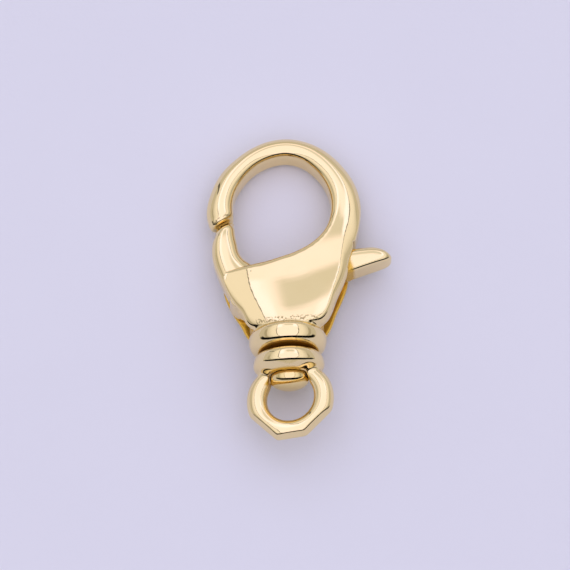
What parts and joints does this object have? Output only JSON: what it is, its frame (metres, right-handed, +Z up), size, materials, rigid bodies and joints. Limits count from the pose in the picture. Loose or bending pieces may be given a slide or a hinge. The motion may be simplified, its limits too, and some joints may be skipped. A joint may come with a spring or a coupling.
{
  "type": "swivel lobster clasp",
  "caption": "Gold plated lobster clasp with a sprung lever gate, a thumb tab, a domed housing and a swivel ring below its collar.",
  "frame": {"origin": "middle of the swivel ring's eye", "axes": "+Y from the eye along the clasp to the hook, +X to the side of the thumb tab, +Z up from the surface it lies on, so that the front of the housing faces up"},
  "size_m": [0.0186, 0.0329, 0.0079],
  "materials": {
    "gold_cast": "polished pale gold plating",
    "gold_pin": "polished gold plating, a little deeper in colour"
  },
  "bodies": {
    "body": {"hook_body": "gold_cast", "pivot_pin": "gold_pin", "swivel_rivet": "gold_pin"},
    "lever": {"lever": "gold_cast"},
    "swivel": {"swivel_ring": "gold_cast"}
  },
  "joints": [
    {"name": "lever_hinge", "type": "hinge", "parent": "body", "child": "lever", "pos_m": [-0.0039, 0.01089, -0.00088], "axis": [0, 0.1065, 0.9943], "range_deg": [-22, 0], "stiffness_Nm_per_rad": 0.02, "springref_deg": 28.65},
    {"name": "swivel_turn", "type": "hinge", "parent": "body", "child": "swivel", "pos_m": [0, 0, 0], "axis": [0, 0.999, -0.045], "continuous": true}
  ]
}
